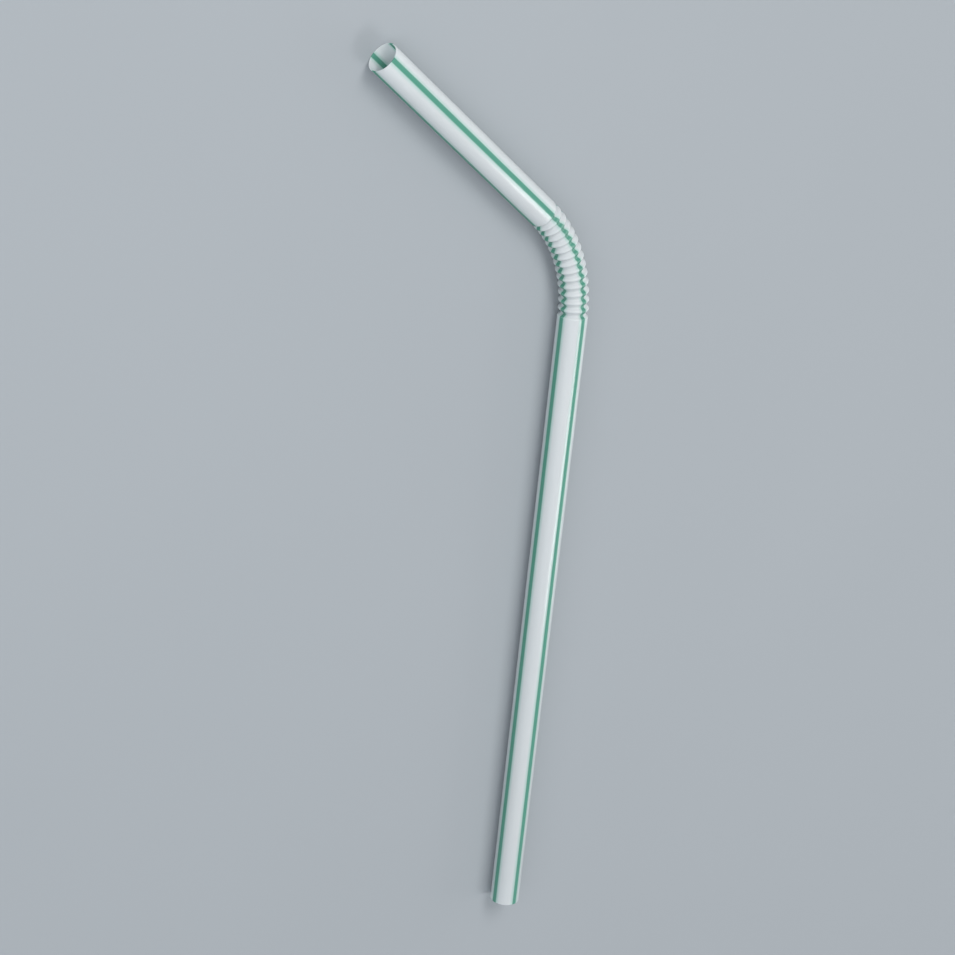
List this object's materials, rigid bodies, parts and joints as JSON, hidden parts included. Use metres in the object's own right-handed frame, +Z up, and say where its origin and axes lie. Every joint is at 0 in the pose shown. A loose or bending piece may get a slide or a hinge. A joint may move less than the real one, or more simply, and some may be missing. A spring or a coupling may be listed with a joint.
{
  "type": "flexible drinking straw",
  "caption": "Thin-walled plastic drinking straw: a long straight barrel, a corrugated neck bent to one side and a short straight arm, open at both ends.",
  "frame": {"origin": "on the surface that the straw lies on, in the middle of its outline seen from above", "axes": "+Y along the long barrel from its foot to the neck, the bent arm towards -X, +Z up and square to the plane of the bend"},
  "size_m": [0.0546, 0.1826, 0.006],
  "materials": {
    "straw_plastic": "satin, slightly see-through white with thin green stripes along the tube"
  },
  "bodies": {
    "root": {"straw": "straw_plastic"}
  },
  "joints": []
}
